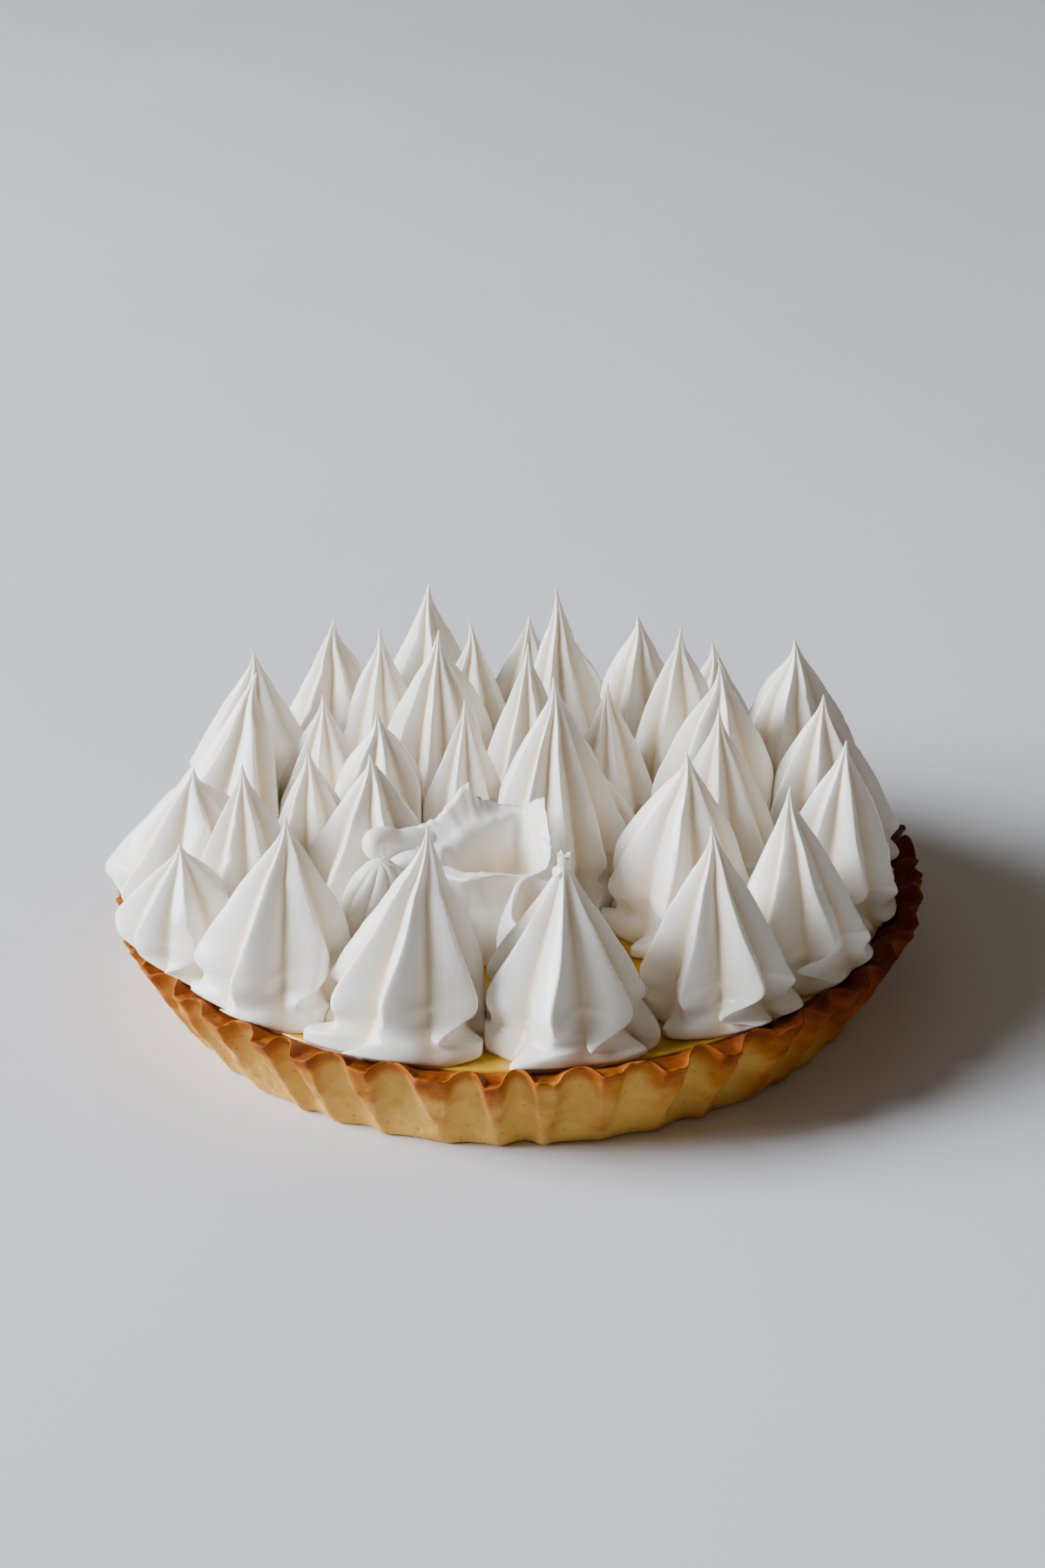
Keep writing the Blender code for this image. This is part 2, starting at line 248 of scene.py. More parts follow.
def lumps(points, size, seed):
    """Smooth noise from -1 to 1: a random value at each corner of a cubic lattice with cells of the
    given size, eased from corner to corner along each axis with 3t^2 - 2t^3."""
    cells = 32
    values = np.random.default_rng(seed).uniform(-1.0, 1.0, (cells, cells, cells))
    place = points / size
    cell = np.floor(place).astype(int)
    part = ease(place - cell, 0.0, 1.0)
    total = np.zeros(points.shape[:-1])
    for corner in np.ndindex(2, 2, 2):
        share = np.prod(np.where(corner, part, 1.0 - part), axis=-1)
        i, j, k = np.moveaxis((cell + corner) % cells, -1, 0)
        total += share * values[i, j, k]
    return total


def compass(angle):
    """Unit vectors in plan that point along the angles."""
    return np.stack([np.cos(angle), np.sin(angle)], axis=-1)


def at_level(flat, level):
    """Points from their places in plan and their heights."""
    return np.concatenate([flat, level[..., None]], axis=-1)


def polar(radius, angle, level):
    """Points round the origin's vertical, from arrays of radius, angle and height."""
    return at_level(radius[..., None] * compass(angle), level)


# ---- meshes ----

def rings_to_piece(name, rings, bottom, top, finish):
    """Closed smooth piece.  rings is (level, column, xyz), outer skin upwards, columns counter-clockwise
    seen from above; bottom and top are the two points that close the first and the last ring."""
    levels, columns = rings.shape[:2]
    index = np.arange(levels * columns).reshape(levels, columns)
    beside = np.roll(index, -1, axis=1)
    quads = np.stack([index[:-1], beside[:-1], beside[1:], index[1:]], axis=-1).reshape(-1, 4)
    foot = np.full(columns, levels * columns)
    low_fan = np.stack([beside[0], index[0], foot], axis=-1)
    high_fan = np.stack([index[-1], beside[-1], foot + 1], axis=-1)
    points = np.concatenate([rings.reshape(-1, 3), [bottom, top]])
    mesh = bpy.data.meshes.new(name)
    mesh.from_pydata(points.tolist(), [], quads.tolist() + low_fan.tolist() + high_fan.tolist())
    mesh.shade_smooth()
    mesh.update()
    piece = bpy.data.objects.new(name, mesh)
    bpy.context.scene.collection.objects.link(piece)
    mesh.materials.append(finish)
    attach(piece, "root")
    return piece


def keep_values(piece, name, values):
    """Stores one number a vertex, which a material can read by its name."""
    attribute = piece.data.attributes.new(name, "FLOAT", "POINT")
    attribute.data.foreach_set("value", values.astype(np.float32))


def node_corners(name):
    """The corners of a solid, one row each."""
    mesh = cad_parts[name].data
    flat = np.empty(3 * len(mesh.vertices), np.float32)
    mesh.vertices.foreach_get("co", flat)
    return np.unique(np.round(flat.reshape(-1, 3).astype(float), 7), axis=0)


# ---- materials ----

def spots(size):
    """Scale of a noise whose spots have the given size, as a spot is about half a cell of it."""
    return 0.5 / size


def linear(code):
    """sRGB hex to linear red, green, blue and alpha."""
    parts = [int(code[i:i + 2], 16) / 255.0 for i in (0, 2, 4)]
    return [c / 12.92 if c <= 0.04045 else ((c + 0.055) / 1.055) ** 2.4 for c in parts] + [1.0]


def add_node(tree, kind, inputs=None, **settings):
    """Adds a node.  settings are its own values; inputs maps a socket to a value or (node, output)."""
    node = tree.nodes.new(kind)
    for key, value in settings.items():
        setattr(node, key, value)
    for socket, value in (inputs or {}).items():
        if isinstance(value, tuple) and isinstance(value[0], bpy.types.Node):
            tree.links.new(value[0].outputs[value[1]], node.inputs[socket])
        else:
            node.inputs[socket].default_value = value
    return node


def ramp(tree, source, stops):
    """Colour ramp from (position, hex colour) stops."""
    node = add_node(tree, "ShaderNodeValToRGB", {"Fac": source})
    elements = node.color_ramp.elements
    while len(elements) < len(stops):
        elements.new(1.0)
    for element, (position, colour) in zip(elements, stops):
        element.position = position
        element.color = linear(colour)
    return node


def new_material(name):
    """Empty node material, its Principled shader and the Object coordinates."""
    made = bpy.data.materials.new(name)
    made.use_nodes = True
    tree = made.node_tree
    return made, tree, tree.nodes["Principled BSDF"], add_node(tree, "ShaderNodeTexCoord")


def set_shader(shader, **values):
    """Sets the shader's own sockets; an underscore stands for a space in their names."""
    for socket, value in values.items():
        shader.inputs[socket.replace("_", " ")].default_value = value


def whipped_meringue():
    """Raw Italian meringue, whipped egg white and sugar syrup: dense white foam with a satin skin.
    Light goes a few millimetres in, and bubbles barely show.  The colour carries painted light: crests
    and points are whitest, and deep valleys and hollows get a painted creamy shade."""
    made, tree, shader, coords = new_material("whipped_meringue")
    place = (coords, "Object")
    cloudy = add_node(tree, "ShaderNodeTexNoise", {
        "Vector": place, "Scale": spots(8.33 * MM), "Detail": 3.0})
    tone = ramp(tree, (cloudy, "Fac"), [(0.3, "FAF4E8"), (0.7, "FDF9F0")])
    # Painted light and shade: the attribute is 1 on lit crests and points and falls in valleys and
    # hollows, where the colour is mixed towards a painted creamy shade.
    lit_share = add_node(tree, "ShaderNodeAttribute", attribute_name="thinness")
    painted_shade = add_node(tree, "ShaderNodeMapRange", {
        "Value": (lit_share, "Fac"), "From Min": 0.0, "From Max": 0.7, "To Min": 1.0, "To Max": 0.0})
    mixed = add_node(tree, "ShaderNodeMix", {
        0: (painted_shade, "Result"), 6: (tone, "Color"), 7: linear("EDD9BA")}, data_type="RGBA")
    tree.links.new(mixed.outputs[2], shader.inputs["Base Color"])
    satin = add_node(tree, "ShaderNodeMapRange", {
        "Value": (cloudy, "Fac"), "From Min": 0.3, "From Max": 0.7, "To Min": 0.22, "To Max": 0.33})
    tree.links.new(satin.outputs["Result"], shader.inputs["Roughness"])
    # Bubbles, drawn as coarse as they need to show, and faint dents left by the nozzle.
    bubbles = add_node(tree, "ShaderNodeTexNoise", {
        "Vector": place, "Scale": spots(0.2 * MM), "Detail": 2.0})
    fine = add_node(tree, "ShaderNodeBump", {
        "Strength": 0.08, "Distance": 0.2 * MM, "Height": (bubbles, "Fac")})
    dents = add_node(tree, "ShaderNodeTexNoise", {
        "Vector": place, "Scale": spots(1.43 * MM), "Detail": 3.0})
    both = add_node(tree, "ShaderNodeBump", {
        "Strength": 0.15, "Distance": 0.4 * MM, "Height": (dents, "Fac"), "Normal": (fine, "Normal")})
    tree.links.new(both.outputs["Normal"], shader.inputs["Normal"])
    set_shader(shader, IOR=1.42, Subsurface_Weight=0.22, Subsurface_Scale=1.8 * MM,
               Subsurface_Radius=(1.0, 0.72, 0.5))
    return made


def baked_shortcrust():
    """Butter shortcrust cooked in a fluted tin: matt and finely crumbed, pale gold where the metal held
    it, tan above, and caramel brown along the rim that stood free in the oven.  Its right side is
    darker, partly real colour from the oven and partly painted shade."""
    made, tree, shader, coords = new_material("baked_shortcrust")
    place = (coords, "Object")
    # The attribute holds the oven's colour, with painted shade added on the right side.
    baked_and_shaded = add_node(tree, "ShaderNodeAttribute", attribute_name="browning")
    patches = add_node(tree, "ShaderNodeTexNoise", {
        "Vector": place, "Scale": spots(5.56 * MM), "Detail": 5.0})
    uneven = add_node(tree, "ShaderNodeMath", {0: (patches, "Fac"), 1: 0.5}, operation="SUBTRACT")
    strong = add_node(tree, "ShaderNodeMath", {0: (uneven, "Value"), 1: 0.45}, operation="MULTIPLY")
    total = add_node(tree, "ShaderNodeMath", {0: (baked_and_shaded, "Fac"), 1: (strong, "Value")}, operation="ADD")
    tone = ramp(tree, (total, "Value"), [
        (0.0, "DAB052"), (0.25, "CB9B4A"), (0.5, "B06A1E"), (0.75, "8A4206"), (1.0, "5E1E04")])
    # Specks of browned butter, and crumb finer than they are.
    specks = add_node(tree, "ShaderNodeTexNoise", {
        "Vector": place, "Scale": spots(0.833 * MM), "Detail": 2.0})
    sparse = ramp(tree, (specks, "Fac"), [(0.66, "FFFFFF"), (0.74, "C79A66")])
    mixed = add_node(tree, "ShaderNodeMix", {
        0: 0.8, 6: (tone, "Color"), 7: (sparse, "Color")}, data_type="RGBA", blend_type="MULTIPLY")
    tree.links.new(mixed.outputs[2], shader.inputs["Base Color"])
    crumb = add_node(tree, "ShaderNodeTexNoise", {
        "Vector": place, "Scale": spots(0.556 * MM), "Detail": 6.0})
    bump = add_node(tree, "ShaderNodeBump", {
        "Strength": 0.35, "Distance": 0.6 * MM, "Height": (crumb, "Fac")})
    tree.links.new(bump.outputs["Normal"], shader.inputs["Normal"])
    gloss = add_node(tree, "ShaderNodeMapRange", {
        "Value": (baked_and_shaded, "Fac"), "From Min": 0.4, "From Max": 1.0, "To Min": 0.72, "To Max": 0.48})
    tree.links.new(gloss.outputs["Result"], shader.inputs["Roughness"])
    set_shader(shader, IOR=1.45, Specular_IOR_Level=0.15, Subsurface_Weight=0.10,
               Subsurface_Scale=2.0 * MM, Subsurface_Radius=(1.0, 0.55, 0.25))
    return made


def set_lemon_curd():
    """Lemon curd, cooked and set: a smooth wet-looking gel, golden yellow, that light enters."""
    made, tree, shader, coords = new_material("set_lemon_curd")
    place = (coords, "Object")
    cloudy = add_node(tree, "ShaderNodeTexNoise", {
        "Vector": place, "Scale": spots(7.14 * MM), "Detail": 3.0})
    tone = ramp(tree, (cloudy, "Fac"), [(0.3, "C99A1C"), (0.7, "D9AE30")])
    tree.links.new(tone.outputs["Color"], shader.inputs["Base Color"])
    ripples = add_node(tree, "ShaderNodeTexNoise", {
        "Vector": place, "Scale": spots(2.27 * MM), "Detail": 2.0})
    bump = add_node(tree, "ShaderNodeBump", {
        "Strength": 0.3, "Distance": 0.8 * MM, "Height": (ripples, "Fac")})
    tree.links.new(bump.outputs["Normal"], shader.inputs["Normal"])
    set_shader(shader, Roughness=0.22, IOR=1.40, Coat_Weight=0.5, Coat_Roughness=0.12,
               Subsurface_Weight=0.35, Subsurface_Scale=4.0 * MM, Subsurface_Radius=(1.0, 0.7, 0.2))
    return made


# ---- shell and curd ----

def flute_share(angles, lobe_share):
    """0 on the narrow flat lobes, and 1 - t^2 across each wide scoop, t running from -1 to 1 over it."""
    phase = (angles - FLUTE_PHASE) * FLUTES / TURN
    across = np.abs(phase - np.round(phase)) * 2.0
    from_middle = (1.0 - across) / (1.0 - lobe_share)
    return np.clip(1.0 - from_middle ** 2, 0.0, 1.0)


def outer_wall(angle, up, foot, rim):
    """Radius of the shell's wall, and how deep in a scoop each point is.  The radius is the cone's, with
    a slight belly, less the scoop's depth.  No two scoops are as wide, as deep, or fade as low down."""
    pinched = 0.7 * np.sin(9 * angle + 1.0) + 0.6 * np.sin(14 * angle + 4.0) + 0.4 * np.sin(23 * angle)
    lobe_share = LOBE_SHARE_AT_FOOT + (LOBE_SHARE - LOBE_SHARE_AT_FOOT) * ease(up, 0.15, 0.85)
    scoop = flute_share(angle + np.radians(pinched), lobe_share)
    fades = 0.14 + 0.14 * np.sin(13 * angle + 0.5) + 0.12 * np.sin(27 * angle + 2.0)
    deepens = ease(up, fades - 0.25, fades + 0.45)
    depth = FLUTE_DEPTH_AT_FOOT + (FLUTE_DEPTH - FLUTE_DEPTH_AT_FOOT) * deepens
    depth = depth * (1.0 + 0.18 * np.sin(17 * angle + 2.0) + 0.12 * np.sin(31 * angle))
    radius = foot + (rim - foot) * up - scoop * depth + 0.6 * MM * arch(up, 1.0)
    # The bottom edge is rounded under.
    radius[0] -= 0.8 * MM
    return radius, scoop


def rim_band(angle, across, crown, lobe, inner_top):
    """Height of the rim from its outer edge inwards: a thin lip, a hollow behind it, and a slope down to
    the curd."""
    lip = 0.12 * MM * arch(across, 0.12)
    torn = 0.6 + 0.4 * np.sin(19 * angle + 2.0) * np.sin(7 * angle)
    hollow = 0.5 * MM * torn * (0.3 + 0.7 * lobe) * bell(across, 0.26, 0.12)
    slope = crown + (INNER_RIM_HEIGHT - crown) * np.clip((across - 0.1) / 0.75, 0.0, 1.0)
    return slope + lip - hollow - (INNER_RIM_HEIGHT - inner_top) * ease(across, 0.7, 1.0)


def fluted_cup(angle):
    """The smooth shell.  Its profile runs from the underside's middle up the sloping outer wall, over
    the rim and down into the shell.  Gives radius and height of each point, the ring's share of the
    height, and how deep in a scoop each point is."""
    corners = node_corners("crust")
    reach = np.hypot(corners[:, 0], corners[:, 1])
    height = corners[:, 2].max()
    rim = reach.max()
    foot = reach[corners[:, 2] < 0.1 * MM].max()
    curd_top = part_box("lemon_curd")[1]
    inner = curd_top.x + CURD_GAP
    inner_top = curd_top.z + CURD_DROP

    # The underside, the wall, the rim's band and the inside, each as shares of its own length.
    under = np.array([0.5, 0.9, 0.985])[:, None]
    up = np.linspace(0.0, 1.0, 36)[:, None]
    across = np.linspace(0.0, 1.0, 18)[1:, None]
    drop = np.linspace(0.0, 1.0, 7)[1:, None]
    wall, scoop = outer_wall(angle, up, foot, rim)
    lobe = (1.0 - ease(scoop[-1:], -0.2, 1.0)) ** 1.4
    # The rim dips at the lobes, at no two by the same depth.
    dip = RIM_DIP * lobe * (1.0 + 0.3 * np.sin(11 * angle + 1.0) + 0.3 * np.sin(29 * angle))
    crown = height - dip
    band = wall[-1] + (inner - wall[-1]) * across
    inside = inner - (rim - foot) * (curd_top.z - SHELL_FLOOR) / height * drop
    radius = np.concatenate([under * wall[:1], wall, band, inside + 0.0 * angle])
    level = np.concatenate([
        under * 0.0 * angle,
        crown * up,
        rim_band(angle, across, crown, lobe, inner_top),
        inner_top - (inner_top - SHELL_FLOOR) * drop + 0.0 * angle,
    ])
    on_the_way_down = np.linspace(0.8, 0.0, len(drop))[:, None]
    share = np.concatenate([0.0 * under, up, np.ones_like(across), on_the_way_down])
    scoop = np.pad(scoop, ((len(under), len(across) + len(drop)), (0, 0)), mode="edge")
    return radius, level, share, scoop


def oven_colour_and_shade(angle, share, scoop):
    """Colour from pale gold at 0 to dark brown at 1.  It grows with the height and on the lobes, and
    the rim's outer edge is a little paler.  It also grows on the right side, away from the window
    light, partly as real colour from the oven and partly as painted shade."""
    browning = 0.14 + 0.06 * ease(share, 0.1, 0.6) + 0.16 * ease(share, 0.55, 0.85)
    browning = browning + 0.36 * ease(share, 0.8, 1.0)
    # Painted shade, with some real colour from the oven: darker on the right side, away from the window
    # light.
    browned_and_shaded_side = ease(np.cos(angle + np.radians(12.0)), 0.45, 0.95)
    browning = browning + browned_and_shaded_side * (0.20 + 0.16 * ease(share, 0.1, 0.7))
    on_wall = ease(share, 0.0, 0.15) * (1.0 - ease(share, 0.78, 1.0))
    browning = browning + (0.6 - scoop) * 0.22 * on_wall
    edge = np.argmax(share >= 1.0)
    browning[edge - 1:edge + 3] -= 0.10 * np.array([0.5, 1.0, 0.7, 0.2])[:, None]
    return browning


def make_crust(finish):
    """Shortcrust shell: the fluted cup with its crumb, which is noise of three sizes less some pits, all
    in millimetres, and a few lumps of dough that stand proud on the rim."""
    angle = (np.arange(FLUTES * COLUMNS_PER_FLUTE) * TURN / (FLUTES * COLUMNS_PER_FLUTE))[None, :]
    radius, level, share, scoop = fluted_cup(angle)
    on_wall = ease(share, 0.0, 0.15)
    on_rim = ease(share, 0.78, 1.0)
    rings = polar(radius, angle, level)
    coarse = lumps(rings, 9.0 * MM, 11)
    middle = lumps(rings, 3.4 * MM, 12)
    small = lumps(rings, 1.4 * MM, 13)
    pits = np.clip(lumps(rings, 2.4 * MM, 14) - 0.5, 0.0, 1.0)
    outward = on_wall * (0.60 * coarse + 0.42 * middle + 0.12 * small - 1.4 * pits)
    outward = outward + on_rim * (0.40 * middle + 0.32 * small)
    rise = on_rim * (0.35 * coarse + 0.42 * middle + 0.36 * small)
    for place, half_width, lump_rise, lump_reach in RIM_LUMPS:
        turned = (np.degrees(angle) - place + 180.0) % 360.0 - 180.0
        near = on_rim * bell(turned, 0.0, half_width)
        rise = rise + near * lump_rise
        outward = outward + near * lump_reach
    level = np.maximum(level + rise * MM, 0.0)
    rings = polar(radius + outward * MM, angle, level)
    bottom, top = (0.0, 0.0, 0.0), (0.0, 0.0, SHELL_FLOOR)
    crust = rings_to_piece("fluted_crust", rings, bottom, top, finish)
    # Oven colour, with painted shade on the right side.
    browning = np.clip(oven_colour_and_shade(angle, share, scoop) + 0.12 * coarse + 0.10 * middle, 0.0, 1.0)
    keep_values(crust, "browning", np.append(browning.ravel(), [0.0, 0.4]))
    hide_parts("crust")


def make_curd(finish):
    """Level disc with faint ripples that climbs a little where it meets the crust."""
    low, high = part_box("lemon_curd")
    corners = node_corners("lemon_curd")
    foot = np.hypot(corners[:, 0], corners[:, 1])[corners[:, 2] < low.z + 0.1 * MM].max()
    angle = np.arange(256)[None, :] * TURN / 256
    inwards = np.linspace(1.0, 0.02, 60)[:, None] + 0.0 * angle
    up = np.linspace(0.0, 1.0, 6)[:, None] + 0.0 * angle
    radius = np.concatenate([foot + (high.x - foot) * up, high.x * inwards[1:]])
    level = np.concatenate([low.z + (high.z - low.z) * up, np.full_like(inwards[1:], high.z)])
    level += 0.7 * MM * (radius / high.x) ** 60
    rings = polar(radius, angle, level)
    rings[6:, :, 2] += 0.25 * MM * lumps(rings[6:], 14.0 * MM, 21)
    curd = rings_to_piece("curd_filling", rings, (0.0, 0.0, low.z), (0.0, 0.0, high.z), finish)
    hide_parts("lemon_curd")


# ---- meringue ----

def read_kiss(name):
    """Middle of the foot, point, foot radius, angle of the ridge left of the front and fullness of a
    solid kiss, worked out from its ring of corners just under the point, which nothing cuts."""
    points = node_corners(name)
    tip = points[points[:, 2].argmax()]
    base = points[:, 2].min()
    level = base + COLLAR_SHARE * (tip[2] - base)
    collar = points[np.abs(points[:, 2] - level) < 0.01 * MM][:, :2]
    middle = collar.mean(axis=0)
    reach = np.hypot(*(collar - middle).T)
    radius = (reach.max() - reach.min()) / (COLLAR_CREST - COLLAR_VALLEY)
    ridge = collar[reach.argmax()] - middle
    front = -0.25 * TURN
    return {
        "foot": tip[:2] - (tip[:2] - middle) / (1.0 - COLLAR_SHARE),
        "tip": tip,
        "base": base,
        "radius": radius,
        "ridge": front - (front - math.atan2(ridge[1], ridge[0])) % (TURN / RIDGES),
        "fullness": (reach.max() / radius - COLLAR_CREST) / COLLAR_SWELL,
    }


def cell_planes(foot, radius, sites):
    """Upright planes between one foot and each neighbour in reach, nearer to the smaller of the two."""
    planes = []
    for other, other_radius in sites:
        apart = math.dist(foot, other)
        if 0.1 * MM < apart < 1.4 * (radius + other_radius):
            normal = (np.array(other) - foot) / apart
            planes.append((normal, apart * radius / (radius + other_radius) - CONTACT_GAP))
    return planes


def press_together(points, axis, foot, planes, rim_inside):
    """Draws points in towards their level's axis where they would pass a neighbour or the rim.  The
    part of each spoke across a plane is limited by soft_min, and so is its reach inside the rim's
    circle, which widens with the height over the rim's band.  A spoke meets the circle at the share of
    it that solves |axis + share * spoke| = bound."""
    spokes = points[..., :2] - axis
    for normal, limit in planes:
        across = spokes @ normal
        room = limit - (axis - foot) @ normal
        meeting = across > 0.25 * room
        limited = soft_min(across, room, CONTACT_SOFTNESS)
        spokes = spokes * np.where(meeting, limited / np.where(meeting, across, 1.0), 1.0)[..., None]
    over = np.clip(OVER_BAND * (points[..., 2] - INNER_RIM_HEIGHT), 0.0, OVERHANG)
    bound = rim_inside + BAND_START + over
    along = np.einsum("...i,...i->...", spokes, np.broadcast_to(axis, spokes.shape))
    length = np.einsum("...i,...i->...", spokes, spokes)
    room = bound ** 2 - np.einsum("...i,...i->...", axis, axis)
    share = (np.sqrt(along ** 2 + length * room) - along) / length
    reach = np.sqrt(length)
    limited = soft_min(reach, reach * share, CONTACT_SOFTNESS)
    spokes = spokes * (limited / reach)[..., None]
    return at_level(axis + spokes, points[..., 2])


def break_tip(rings, axis):
    """A snapped point: a jagged stump in place of the needle, and a lower ledge on its left.  Both are
    flights of a stair: up the side, in over the break, and on the left up and in once more.  The stairs
    give heights above the break's lowest level, in millimetres, by the share of its depth."""
    spokes = rings[..., :2] - axis
    reach = np.maximum(np.hypot(*np.moveaxis(spokes, -1, 0)), 0.01 * MM)
    spokes = spokes / reach[..., None]
    low = rings[..., 2].max() - BREAK_DEPTH
    rise = np.clip((rings[..., 2] - low) / BREAK_DEPTH, 0.0, 1.0)
    left = ease(-spokes[..., 0], 0.2, 0.6)
    stump = (STUMP_RADIUS + LEDGE_WIDTH * left * ease(-rise, -0.52, -0.38)) * ease(rise, 0.0, 0.35)
    reach = np.maximum(reach, stump) * (1.0 - 0.98 * ease(rise, 0.82, 1.0))
    rings[..., :2] = axis + spokes * reach[..., None]
    turn = np.arctan2(spokes[..., 1], spokes[..., 0])
    jag = 0.5 * np.sin(3.0 * turn + 0.6) + 0.35 * np.sin(7.0 * turn) + 0.25 * np.sin(12.0 * turn + 2.0)
    jag = jag * ease(rise, 0.25, 0.5) * (1.0 - ease(rise, 0.85, 1.0))
    straight = np.interp(rise, (0.0, 0.8, 1.0), (0.0, 8.5, 7.9))
    stepped = np.interp(rise, (0.0, 0.38, 0.52, 0.8, 1.0), (0.0, 3.7, 3.9, 8.3, 7.9))
    stair = straight + (stepped - straight) * left + jag
    rings[..., 2] = np.where(rise > 0.0, low + stair * MM, rings[..., 2])
    return rings


def ridge_columns(ridges):
    """Columns round a kiss, closer together near the crests: each column's ridge number u, the ridge it
    belongs to, and its distance from that crest, the middle of the valley being 1 away."""
    spread = np.linspace(-1.0, 1.0, COLUMNS_PER_RIDGE, endpoint=False)
    beside = 0.5 * np.sign(spread) * np.abs(spread) ** 1.6
    u = (np.arange(ridges)[:, None] + beside).ravel()[None, :]
    ridge = np.repeat(np.arange(ridges), COLUMNS_PER_RIDGE)[None, :]
    return u, ridge, np.abs(2.0 * (u - ridge))


def crest_swing(foot_share, top_share, strength, bay, hand):
    """How far a crest swings round the kiss, as a share of the foot's radius: out into the lip, the
    other way round the bay above it, and out once more at the belly."""
    lip = LIP_SWING * strength * ease(-foot_share, -LIP_TOP, -LIP_FULL)
    round_bay = BAY_SWING * bay * bell(foot_share, BAY_LEVEL, BAY_SPAN)
    belly = BELLY_SWING * hand * bell(foot_share + top_share, BELLY_LEVEL, BELLY_SPAN)
    return lip - round_bay + belly


def skin(rings, ridge, away, level, number):
    """Slow swells and small dents of the skin, and the depth of the nicks along the crests, all in
    millimetres.  A nick is what a noise along the crest has above 0.45."""
    slow = lumps(rings, 8.0 * MM, number)
    quick = lumps(rings, 2.5 * MM, 50 + number)
    track = np.stack(np.broadcast_arrays(ridge * 7.3, level / (1.6 * MM), 0.5), axis=-1)
    nicks = np.clip(lumps(track, 1.0, 90 + number) - 0.45, 0.0, 1.0) * bell(away, 0.0, 0.10)
    return 0.35 * slow + 0.08 * quick, 1.5 * nicks


def make_kiss(name, kiss, sites, rim_inside, finish):
    """One piped kiss, a function of ridge number u and level.  The reach at u is the valley's plus the
    crest's excess times (1 - a)^p, a being the rounded distance from the nearest crest.  Crests swing
    sideways near the foot, where the soft ridges folded.  Every other one flares to the left there, and
    those between them go round a bay and out again into a slender lip."""
    number = int(name[-2:])
    random = np.random.default_rng(100 + number)
    ridges = FINE_RIDGES if name in FINE_PIPED else RIDGES
    radius = kiss["radius"]
    base = kiss["base"] - SINK
    height = kiss["tip"][2] - base
    rows = rows_between(KISS_ROWS, LEVELS_PER_ROW)
    foot_share, top_share, crest, valley, swell, roundness, hollow, curl, apron = rows.T[:, :, None]
    u, ridge, away = ridge_columns(ridges)
    # The bottom of each valley is rounded off as well, by about 0.09 of its half width.
    fin = (np.sqrt((1.0 - rounded(away, roundness)) ** 2 + 0.008) - 0.089) / 0.915
    fin = np.clip(fin, 0.0, 1.0) ** hollow

    # No two ridges are alike.  A ridge's hand is -1 where it flares to the left.
    hand = np.where(np.arange(ridges) % 2 == 0, -1.0, 1.0) * RIDGES / ridges
    strength = (0.75 * hand - 0.3) * random.uniform(0.6, 1.3, ridges)
    bay = (0.6 + 0.4 * hand) * random.uniform(0.7, 1.2, ridges)
    longer = random.uniform(-0.12, 0.07, ridges)
    lifted = random.uniform(-0.12, 0.12, ridges)
    turned = random.uniform(-0.14, 0.14, ridges)
    squat = random.uniform(0.82, 1.08)
    bend = random.uniform(-1.0, 1.0, 2) * MM

    # Below the hip the height goes by the foot's radius, and above it by what is left up to the point.
    level = radius * squat * foot_share + (height - HIP * squat * radius) * top_share
    hump = arch(level, 1.4 * radius)
    level = level + radius * fin * (lifted[ridge] * hump + curl * np.abs(strength[ridge]))
    share = level / height
    crest = (crest + swell * kiss["fullness"]) * (1.0 + longer[ridge])
    valley = valley + 0.8 * swell * kiss["fullness"]
    # A valley is pushed out where the ridges beside it swing apart.
    side = np.sign(u - ridge)
    next_one = (ridge + side.astype(int)) % ridges
    parting = side * (strength[next_one] - strength[ridge])
    valley = valley + apron * np.clip(0.6 * parting, -1.0, 1.0)
    reach = radius * (valley + np.maximum(crest - valley, 0.0) * fin)
    shift = radius * fin * crest_swing(foot_share, top_share, strength[ridge], bay[ridge], hand[ridge])
    angle = kiss["ridge"] + (u + turned[ridge] * fin) * TURN / ridges
    outward = compass(angle)
    sideways = compass(angle + 0.25 * TURN)
    # The axis leans from the foot's middle to the point, and bends a little on the last stretch.
    near_tip = np.clip((share - 0.72) / 0.28, 0.0, 1.0)[..., None]
    lean = (kiss["tip"][:2] - kiss["foot"]) * share[..., None]
    axis = kiss["foot"] + lean + bend * near_tip * (1.0 - near_tip) * 3.0
    rings = at_level(axis + outward * reach[..., None] + sideways * shift[..., None], base + level)

    stands_out, nicks = skin(rings, ridge, away, level, number)
    stands_out = stands_out - nicks * ease(level, 0.4 * radius, 0.7 * radius)
    stands_out = stands_out * ease(1.0 - share, 0.02, 0.25) * MM
    rings[..., :2] += outward * stands_out[..., None]
    planes = cell_planes(kiss["foot"], radius, sites)
    rings = press_together(rings, axis, kiss["foot"], planes, rim_inside)
    if name == BROKEN:
        rings = break_tip(rings, axis)
    bottom, top = (*kiss["foot"], base), rings[-1].mean(axis=0)
    piece = rings_to_piece(name.replace("kiss", "piped_kiss"), rings, bottom, top, finish)
    # Painted light: 1 on the crests and near the point, falling to 0 in the valleys, which get painted
    # shade.
    lit_share = np.maximum(fin ** 0.7 + 0.0 * level, ease(share, 0.8, 0.95))
    keep_values(piece, "thinness", np.append(lit_share.ravel(), [0.0, 1.0]))
    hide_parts(name)


